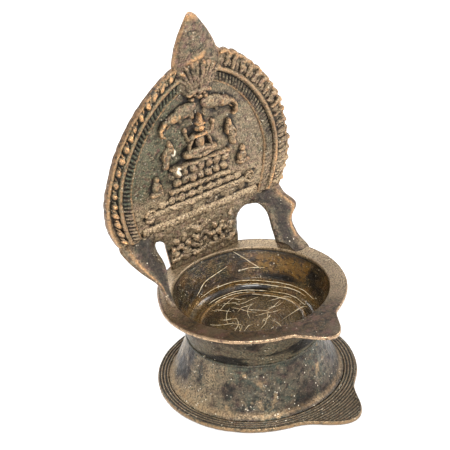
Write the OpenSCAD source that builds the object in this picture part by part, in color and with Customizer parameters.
// Standing oil lamp with a leaf-shaped bowl, a hollow turned foot and a relief back plate.
// Frame: origin on the resting plane at the axis of the foot, +Z up, the beaks point to -Y
// and the back plate stands on the +Y side of the rim.

/* [Foot] */
// Radius of the round part of the foot flange
foot_r = 37.3; // [34.5:0.1:40]
// Distance from the axis to the tip of the foot's beak
foot_tip_r = 47.9; // [44:0.1:52]
// Turn of the foot's beak about the axis, from -Y toward +X
foot_beak_turn = 10.6; // [-20:0.2:20]
// Half of the angle over which the foot's beak spreads into the round
foot_beak_spread = 30; // [24:1:36]
// Thickness of the foot flange
flange_t = 1.6; // [1.2:0.1:2.4]
// Distance between two turned grooves on the flange
groove_pitch = 1.15; // [1:0.05:1.6]
// Radius of the skirt where it stands on the flange
skirt_r = 31.8; // [30:0.1:32.5]

/* [Bowl] */
// Radius at the waist, where the bowl sits on the skirt
waist_r = 24.7; // [23:0.1:27]
// Height of the waist
waist_z = 19.5; // [17:0.5:22]
// Height of the top of the rim
rim_z = 37.4; // [36:0.1:40]
// Radius of the round part of the rim
rim_r = 35; // [34.5:0.1:37]
// Distance from the axis to the tip of the rim's beak
rim_tip_r = 44.6; // [41:0.1:48]
// Turn of the rim's beak about the axis, from -Y toward +X
rim_beak_turn = 4; // [-20:0.2:20]
// Half of the angle over which the rim's beak spreads into the round
rim_beak_spread = 24; // [20:1:30]
// Thickness of the rim
rim_t = 1.5; // [1.2:0.1:2]
// Radius of the bowl's mouth
mouth_r = 28.5; // [27:0.1:29]
// Thickness of the walls of the bowl and the skirt
wall_t = 2; // [1.6:0.1:2.4]

/* [Back plate] */
// Height of the whole lamp
lamp_h = 137.5; // [134:0.5:142]
// Distance from the axis to the plate's ground, where the plate stands on the rim
plate_foot_y = 28.9; // [28.5:0.1:29.3]
// Forward lean of the plate over the bowl, in degrees
plate_lean = 4.6; // [0:0.1:6]
// Thickness of the plate's ground, behind the relief
plate_t = 2.1; // [1.8:0.1:2.4]
// Half of the plate's greatest width
arch_half_w = 39.6; // [38:0.2:42]
// Height at which the plate is widest
spring_z = 75; // [73:0.5:77]
// Height of the arch above its widest line
arch_rise = 46.5; // [46:0.5:49]
// Height of the seam between the plate and the two legs
neck_z = 55; // [54:0.1:56]
// Half of the width of the panel between the windows
panel_half_w = 16; // [15:0.1:17]
// Radius of the round head of a window
window_r = 4.8; // [4.4:0.1:5.2]
// Half of the width of the finial at its foot
finial_half_w = 9; // [8:0.1:10]

/* [Legs] */
// Distance from the middle of the lamp to the outside of the left and the right knee
knee_x = [33.2, 37.6]; // [32:0.1:38.5]
// Distance from the middle of the lamp to the outside of the left and the right ankle
ankle_x = [29.8, 33.6]; // [29:0.1:34]
// Distance from the middle of the lamp to the outside of the left and the right foot
foot_x = [31.6, 34]; // [31.2:0.1:34.5]
// Distance from the middle of the lamp to the inside of the left and the right leg at the top
leg_in_top_x = [22.6, 26.2]; // [22:0.1:27]
// Depth of a leg from front to back, measured level
leg_depth = 3; // [2.6:0.1:3.1]
// Distance from the axis to the front of a leg where it stands on the rim
leg_foot_y = 9.5; // [8:0.1:11]

/* [Relief] */
// Sideways offset of the relief from the middle of the plate
relief_x = -1; // [-1.4:0.1:1.4]
// Height of the border and of the ribs above the plate's ground
border_h = 0.8; // [0.6:0.1:1.2]
// Height of the roll moulding above the plate's ground
roll_h = 1.6; // [1.2:0.1:2]
// Height of a boss above the border
boss_h = 1.2; // [0.8:0.1:1.4]
// Number of bosses on each half of the border
boss_count = 17; // [12:1:19]
// Number of ribs on each half of the arch
rib_count = 40; // [30:1:44]
// Number of beads in the row under the throne
bead_count = 9; // [7:1:11]

/* [Hidden] */

$fn = 64;

// Foot
beak_power = 1.7;
groove_depth = 0.4;
groove_first_r = skirt_r + 0.9;
skirt_curve = 1.1;
bead_band = 0.6;
web_t = 2;
web_z = waist_z - web_t;

// Tenon under the bowl, its washer and its peened end
tenon_r = 3;
washer_r = 6;
washer_t = 1;
peen_r = 4.4;
peen_h = 1.4;

// Bowl
rim_low_z = rim_z - rim_t;
bowl_top_r = mouth_r + 0.7 + wall_t;
bowl_curve = 1.15;
floor_z = waist_z + bead_band + wall_t;
floor_fillet = 3;

// Pegs that stand in the rim
peg_r = 1.2;
leg_peg_x = 29.8;
leg_peg_y = leg_foot_y + leg_depth / 2;
panel_peg_x = 12;
panel_peg_y = plate_foot_y + plate_t / 2;

// Plate
arch_side_power = 0.556;
arch_top_power = 1.7;
arch_drop = 42;
window_x = panel_half_w + window_r;
window_head_z = neck_z - 2.5 - window_r;
window_head_share = 0.7;
finial_z = 119.5;
finial_tenon = [6, 1, 3];
finial_t = plate_t + 0.8;

// Legs
leg_in_foot_x = 24.8;
leg_out_x = 36.6;
knee_z = 48;
ankle_z = 42;

// Bands of the arch, as insets from the plate's outline
border_w = 4;
roll_inset = border_w;
roll_w = 2;
rib_inset = roll_inset + roll_w;
rib_w = 4.4;
band_low_t = -26;
band_top_t = 74;
t_step = 2;
walk_step = 0.5;
band_end_gap = 2.2;

// Points of an outline that is round but for one beak toward -Y
function leaf_r(a, round_r, tip_r, spread) =
    round_r + (tip_r - round_r) * pow((1 + cos(180 * a / spread)) / 2, beak_power);

function beak_outline(round_r, tip_r, spread) =
    concat([[0, 0]],
           [for (a = [-spread : 2 : spread])
               leaf_r(a, round_r, tip_r, spread) * [sin(a), -cos(a)]]);

module leaf(round_r, tip_r, spread, turn, h) {
    cylinder(r = round_r, h = h, $fn = 128);
    rotate([0, 0, turn])
        linear_extrude(h)
            polygon(beak_outline(round_r, tip_r, spread));
}

// Radius of the skirt's outside at height z
function skirt_r_at(z) =
    waist_r + (skirt_r - waist_r)
        * pow(max(0, 1 - (z - flange_t) / (waist_z - bead_band - flange_t)), skirt_curve);

// Radius of the bowl's outside at height z
function bowl_r_at(z) =
    waist_r + (bowl_top_r - waist_r)
        * pow(max(0, (z - waist_z - bead_band) / (rim_low_z - waist_z - bead_band)), bowl_curve);

// Point of the arch's curve on one side (-1 or 1), moved in by inset; t is 0 at the widest
// line and 90 at the top, and the curves shift sideways with the relief as they go in
function arch_pt(side, inset, t) =
    let (s = sin(t))
    [side * (arch_half_w - inset) * pow(cos(t), 2 * arch_side_power)
         + relief_x * min(1, inset / border_w),
     spring_z + (s > 0 ? (arch_rise - inset) * pow(s, 2 / arch_top_power) : arch_drop * s)];

// Length of one step along the arch's curve
function arch_step(side, inset, t) =
    norm(arch_pt(side, inset, t + walk_step) - arch_pt(side, inset, t));

// Length of the arch's curve at an inset, from t up to the top of the bands
function arch_len(side, inset, t = band_low_t) =
    t >= band_top_t ? 0 : arch_step(side, inset, t) + arch_len(side, inset, t + walk_step);

// Value of t at a distance along the curve, counted from the foot of the bands
function arch_t(side, inset, distance, t = band_low_t) =
    distance <= 0 ? t
    : arch_t(side, inset, distance - arch_step(side, inset, t), t + walk_step);

// Place in Y and Z of a point of the leaning plate, v up the plate and h in front of its ground
function plate_yz(v, h) =
    [plate_foot_y - sin(plate_lean) * (v - rim_z) - cos(plate_lean) * h,
     rim_z + cos(plate_lean) * (v - rim_z) - sin(plate_lean) * h];

// Carries a relief drawn in X and Y, with its height in +Z, onto the front of the leaning plate
module on_plate(lift = 0) {
    translate([0, plate_foot_y, rim_z])
        rotate([90 + plate_lean, 0, 0])
            translate([0, -rim_z, lift])
                children();
}

// As on_plate, with the drawing moved sideways with the relief
module relief() {
    on_plate()
        translate([relief_x, 0, 0])
            children();
}

// Bevelled bar of the height h from p to q, with round ends of the radius r
module bar(p, q, r, h) {
    hull()
        for (end = [p, q])
            translate([end[0], end[1], 0])
                cylinder(r1 = r, r2 = r * 0.55, h = h, $fn = 12);
}

// Bars that join the points of a path
module bars(path, r, h) {
    for (i = [0 : len(path) - 2])
        bar(path[i], path[i + 1], r, h);
}

module arch_band(side, inset, w, h) {
    linear_extrude(h)
        polygon(concat(
            [for (t = [band_low_t : t_step : band_top_t]) arch_pt(side, inset, t)],
            [for (t = [band_top_t : -t_step : band_low_t]) arch_pt(side, inset + w, t)]));
}

module foot_flange() color("#4b4233") {
    difference() {
        leaf(foot_r, foot_tip_r, foot_beak_spread, foot_beak_turn, flange_t);
        translate([0, 0, -1])
            cylinder(r = skirt_r - wall_t, h = flange_t + 2, $fn = 128);
        rotate_extrude($fn = 128)
            for (r = [groove_first_r : groove_pitch : foot_tip_r])
                polygon([[r, flange_t - groove_depth],
                         [r + groove_pitch * 0.3, flange_t + 0.1],
                         [r - groove_pitch * 0.3, flange_t + 0.1]]);
    }
}

module foot_skirt() color("#3b3a30") {
    inner_top_z = web_z - wall_t;
    rotate_extrude($fn = 128)
        polygon(concat(
            [for (z = [flange_t : 1.8 : waist_z - bead_band]) [skirt_r_at(z), z]],
            [[waist_r, waist_z - bead_band], [waist_r, waist_z],
             [tenon_r, waist_z], [tenon_r, web_z],
             [waist_r - wall_t * 2, web_z]],
            [for (z = [inner_top_z : -2.2 : flange_t]) [skirt_r_at(z) - wall_t, z]],
            [[skirt_r - wall_t, flange_t]]));
}

module waist_bead() color("#6d5a37") {
    rotate_extrude($fn = 128)
        difference() {
            translate([waist_r, waist_z])
                circle(r = bead_band, $fn = 32);
            translate([0, waist_z - 2])
                square([waist_r, 4]);
        }
}

module bowl() color("#4a4431") {
    wall_low_z = floor_z + floor_fillet;
    fillet_r = bowl_r_at(wall_low_z) - wall_t - floor_fillet;
    rotate_extrude($fn = 128)
        polygon(concat(
            [[0, waist_z], [waist_r, waist_z]],
            [for (z = [waist_z + bead_band : 2.2 : rim_low_z]) [bowl_r_at(z), z]],
            [[bowl_top_r, rim_low_z], [bowl_top_r - wall_t, rim_low_z]],
            [for (z = [rim_low_z - 2 : -2 : wall_low_z]) [bowl_r_at(z) - wall_t, z]],
            [for (a = [0 : -15 : -90])
                [fillet_r + floor_fillet * cos(a), wall_low_z + floor_fillet * sin(a)]],
            [[0, floor_z]]));
    translate([0, 0, web_z - washer_t])
        cylinder(r = tenon_r, h = waist_z - web_z + washer_t);
    translate([0, 0, web_z - washer_t - peen_h])
        cylinder(r1 = tenon_r, r2 = peen_r, h = peen_h);
}

module tenon_washer() color("#8a7142") {
    translate([0, 0, web_z - washer_t])
        difference() {
            cylinder(r = washer_r, h = washer_t);
            translate([0, 0, -1])
                cylinder(r = tenon_r, h = washer_t + 2);
        }
}

module rim_peg_places() {
    for (side = [-1, 1]) {
        translate([side * leg_peg_x, leg_peg_y, 0])
            children();
        translate([side * panel_peg_x, panel_peg_y, 0])
            children();
    }
}

module bowl_rim() color("#6a5a43") {
    translate([0, 0, rim_low_z])
        difference() {
            leaf(rim_r, rim_tip_r, rim_beak_spread, rim_beak_turn, rim_t);
            translate([0, 0, -1])
                cylinder(r = mouth_r, h = rim_t + 2, $fn = 128);
            translate([0, 0, -1])
                rim_peg_places()
                    cylinder(r = peg_r, h = rim_t + 2, $fn = 32);
        }
}

module plate_outline() {
    low_t = asin((neck_z - spring_z) / arch_drop);
    top_t = acos(pow(finial_half_w / arch_half_w, 0.5 / arch_side_power));
    steps = 40;
    right = [for (i = [0 : steps]) arch_pt(1, 0, low_t + (top_t - low_t) * i / steps)];
    left = [for (i = [steps : -1 : 0]) [-right[i][0], right[i][1]]];
    polygon(concat(right, [[finial_half_w, finial_z], [-finial_half_w, finial_z]], left));
}

// Plate's ground round the head of one window
module window_head(side) {
    translate([side * window_x, 0])
        difference() {
            translate([-window_r, window_head_z])
                square([window_r * (1 + window_head_share), neck_z - window_head_z]);
            translate([0, window_head_z])
                circle(r = window_r, $fn = 64);
        }
}

module finial_tenon_block() {
    translate([-finial_tenon[0] / 2, finial_z - finial_tenon[2], -(plate_t + finial_tenon[1]) / 2])
        cube([finial_tenon[0], finial_tenon[2], finial_tenon[1]]);
}

module back_plate() color("#75634a") {
    below_rim = 1;
    difference() {
        on_plate()
            difference() {
                translate([0, 0, -plate_t])
                    linear_extrude(plate_t) {
                        plate_outline();
                        translate([-panel_half_w, rim_z - below_rim])
                            square([panel_half_w * 2, neck_z - rim_z + below_rim]);
                        window_head(-1);
                        window_head(1);
                    }
                finial_tenon_block();
            }
        translate([-50, 0, rim_z - 10])
            cube([100, 50, 10]);
    }
    for (side = [-1, 1])
        translate([side * panel_peg_x, panel_peg_y, rim_low_z])
            cylinder(r = peg_r, h = rim_t, $fn = 32);
}

module finial() color("#6f5c43") {
    leaf_h = lamp_h - finial_z;
    half = [[1, 0], [0.95, 0.15], [0.8, 0.36], [0.57, 0.6], [0.32, 0.8], [0.1, 0.97]];
    right = [for (p = half) [p[0] * finial_half_w, finial_z + p[1] * leaf_h]];
    left = [for (i = [len(right) - 1 : -1 : 0]) [-right[i][0], right[i][1]]];
    on_plate() {
        translate([0, 0, -plate_t])
            linear_extrude(finial_t)
                polygon(concat(right, [[0, lamp_h]], left));
        finial_tenon_block();
    }
}

// Space over the bowl's mouth that the feet of the legs stay out of
module mouth_clearance() {
    below = 1;
    above = 5;
    translate([0, 0, rim_z - below])
        cylinder(r1 = mouth_r + below, r2 = mouth_r - above, h = below + above, $fn = 128);
}

// Leg that comes down and forward from the plate's corner to the rim; i is 0 on the left
module leg(side, i) {
    top_back = plate_yz(neck_z, -plate_t);
    top_front = plate_yz(neck_z, border_h);
    difference() {
        intersection() {
            translate([-50, 0, 0])
                rotate([90, 0, 90])
                    linear_extrude(100)
                        polygon([top_back, top_front, [leg_foot_y, rim_z],
                                 [leg_foot_y + leg_depth, rim_z]]);
            translate([0, plate_foot_y + 5, 0])
                rotate([90, 0, 0])
                    linear_extrude(plate_foot_y)
                        polygon([for (p = [[leg_in_top_x[i], neck_z + 1], [leg_in_foot_x, rim_z],
                                           [foot_x[i], rim_z], [ankle_x[i], ankle_z],
                                           [knee_x[i], knee_z], [leg_out_x, neck_z + 1]])
                                     [side * p[0], p[1]]]);
        }
        mouth_clearance();
    }
    translate([side * leg_peg_x, leg_peg_y, rim_low_z])
        cylinder(r = peg_r, h = rim_t, $fn = 32);
}

module leg_left() color("#6b5a41") leg(-1, 0);

module leg_right() color("#6b5a41") leg(1, 1);

module border_left() color("#5f5340")
    on_plate()
        arch_band(-1, 0, border_w, border_h);

module border_right() color("#5f5340")
    on_plate()
        arch_band(1, 0, border_w, border_h);

// Flame-like bosses in a row along the border
module bosses(side) {
    boss_inset = border_w / 2;
    run = arch_len(side, boss_inset) - band_end_gap * 2;
    on_plate(border_h)
        for (i = [0 : boss_count - 1]) {
            t = arch_t(side, boss_inset, band_end_gap + run * i / (boss_count - 1));
            p = arch_pt(side, boss_inset, t);
            translate([p[0], p[1], 0])
                cylinder(r1 = 1.7, r2 = 1, h = boss_h, $fn = 24);
        }
}

module bosses_left() color("#b0814b") bosses(-1);

module bosses_right() color("#b0814b") bosses(1);

module roll(side) {
    step_h = roll_h * 0.6;
    on_plate() {
        arch_band(side, roll_inset, roll_w, step_h);
        translate([0, 0, step_h])
            arch_band(side, roll_inset + roll_w * 0.25, roll_w * 0.5, roll_h - step_h);
    }
}

module roll_left() color("#7c6849") roll(-1);

module roll_right() color("#7c6849") roll(1);

// Cross ribs between the roll and the niche
module ribs(side) {
    mid_inset = rib_inset + rib_w / 2;
    run = arch_len(side, mid_inset) - band_end_gap;
    on_plate()
        for (i = [0 : rib_count - 1]) {
            t = arch_t(side, mid_inset, band_end_gap / 2 + run * i / (rib_count - 1));
            p = arch_pt(side, mid_inset, t);
            across = arch_pt(side, rib_inset, t) - arch_pt(side, rib_inset + rib_w, t);
            translate([p[0], p[1], border_h / 2])
                rotate([0, 0, atan2(across[1], across[0])])
                    cube([rib_w - 0.6, 0.8, border_h], center = true);
        }
}

module ribs_left() color("#5a4f3d") ribs(-1);

module ribs_right() color("#5a4f3d") ribs(1);

// Lion mask at the crown of the arch, with its mane as a fan of strokes
module lion_mask() color("#7a6547") {
    mane_z = 107.5;
    mane_r = 10.4;
    relief() {
        for (a = [-42 : 12 : 42])
            bar([mane_r * 0.45 * sin(a), mane_z], [mane_r * sin(a), mane_z + mane_r * cos(a)],
                1.1, 2);
        bar([-3.2, mane_z - 0.8], [3.2, mane_z - 0.8], 2.4, 2.8);
    }
}

// Seated goddess: crown, head, body, crossed legs and raised hands
module goddess() color("#8a6c49") {
    relief() {
        bar([0, 96.4], [0, 98.6], 1.2, 2.4);
        bar([0, 94.2], [0, 94.9], 1.8, 3.2);
        bar([0, 87], [0, 91], 3, 3.2);
        bar([-6.2, 84.2], [6.2, 84.2], 2.4, 3.6);
        for (side = [-1, 1])
            bars([[side * 3, 91.2], [side * 5.6, 87.8], [side * 6.4, 91.8]], 1, 2.4);
    }
}

// Elephant in profile with its trunk reaching down beside the goddess
module elephant(side) {
    relief() {
        bar([side * 5, 102.6], [side * 10.4, 100.4], 2.4, 2.4);
        bars([for (p = [[10.4, 100.4], [14, 99.4], [16.8, 96.8], [16, 94]]) [side * p[0], p[1]]],
             1, 1.8);
    }
}

module elephant_left() color("#6e5d43") elephant(-1);

module elephant_right() color("#6e5d43") elephant(1);

// Standing attendant beside the throne
module attendant(side) {
    relief() {
        bar([side * 13, 90.8], [side * 13.1, 91.3], 1.4, 2);
        bar([side * 13.5, 88.4], [side * 15, 83.4], 1.8, 1.8);
    }
}

module attendant_left() color("#6e5d43") attendant(-1);

module attendant_right() color("#6e5d43") attendant(1);

// Small seated figure at the end of the throne
module side_figure(side) {
    relief() {
        bar([side * 19, 78.8], [side * 19.1, 79.2], 1.3, 1.6);
        bar([side * 19, 76.4], [side * 19.6, 73.8], 2.2, 1.6);
    }
}

module side_figure_left() color("#6e5d43") side_figure(-1);

module side_figure_right() color("#6e5d43") side_figure(1);

// Throne of lotus petals that spread upward and downward from a narrow waist
module lotus_throne() color("#7d6a4d") {
    petals = 7;
    petal_pitch = 3.3;
    waist_line_z = 76.4;
    relief()
        for (i = [0 : petals - 1]) {
            x = (i - (petals - 1) / 2) * petal_pitch;
            bar([x, waist_line_z], [x * 1.1, waist_line_z + 3.4], 1.8, 2.6);
            bar([x, waist_line_z], [x * 1.1, waist_line_z - 2.2], 1.8, 2.4);
        }
}

module throne_ledge() color("#7d6a4d") {
    relief()
        translate([-13, 70])
            cube([26, 1.8, 1.4]);
}

module bead_row() color("#6a5941") {
    bead_pitch = 4.2;
    relief()
        for (i = [0 : bead_count - 1])
            translate([(i - (bead_count - 1) / 2) * bead_pitch, 67.6, 0])
                cylinder(r1 = 1.7, r2 = 1.1, h = 1, $fn = 24);
}

// Moulding under the beads, which ends in a scroll at each side
module cornice() color("#7d6a4d") {
    relief()
        translate([-20, 63.4])
            cube([40, 1.8, 1.4]);
}

// Volute at one end of the cornice
module scroll(side) {
    relief()
        translate([side * 22.6, 65.4, 0])
            difference() {
                cylinder(r = 2.4, h = 1.6, $fn = 32);
                translate([0, 0, 0.6])
                    difference() {
                        cylinder(r = 1.6, h = 2, $fn = 32);
                        translate([0, 0, -1])
                            cylinder(r = 0.8, h = 4, $fn = 32);
                    }
            }
}

module scroll_left() color("#7d6a4d") scroll(-1);

module scroll_right() color("#7d6a4d") scroll(1);

// Rope along the foot of the plate
module rope_moulding() color("#7a6649") {
    strands = 24;
    rope_half_w = 25;
    relief()
        for (i = [0 : strands - 1]) {
            x = ((i + 0.5) / strands * 2 - 1) * rope_half_w;
            bar([x - 0.7, 57.4], [x + 0.7, 59.4], 1, 1.2);
        }
}

// Scrolls and stalks in low relief between the windows
module panel_scrollwork() color("#5c4c3c") {
    scroll_x = 8.5;
    scroll_z = 47;
    scroll_r = 3.4;
    on_plate() {
        for (side = [-1, 1]) {
            bars([for (a = [0 : 45 : 315])
                      [side * (scroll_x + scroll_r * cos(a)), scroll_z + scroll_r * sin(a)]],
                 0.9, 1);
            bar([side * 5.4, 45.6], [side * 1.4, 41.4], 0.9, 1);
            bar([side * 8.5, 43.6], [side * 13.2, 40.6], 0.9, 1);
        }
        bar([0, 40.2], [0, 52.6], 1.1, 1.2);
    }
}

foot_flange();
foot_skirt();
waist_bead();
bowl();
tenon_washer();
bowl_rim();
back_plate();
finial();
leg_left();
leg_right();
border_left();
border_right();
bosses_left();
bosses_right();
roll_left();
roll_right();
ribs_left();
ribs_right();
lion_mask();
goddess();
elephant_left();
elephant_right();
attendant_left();
attendant_right();
side_figure_left();
side_figure_right();
lotus_throne();
throne_ledge();
bead_row();
cornice();
scroll_left();
scroll_right();
rope_moulding();
panel_scrollwork();
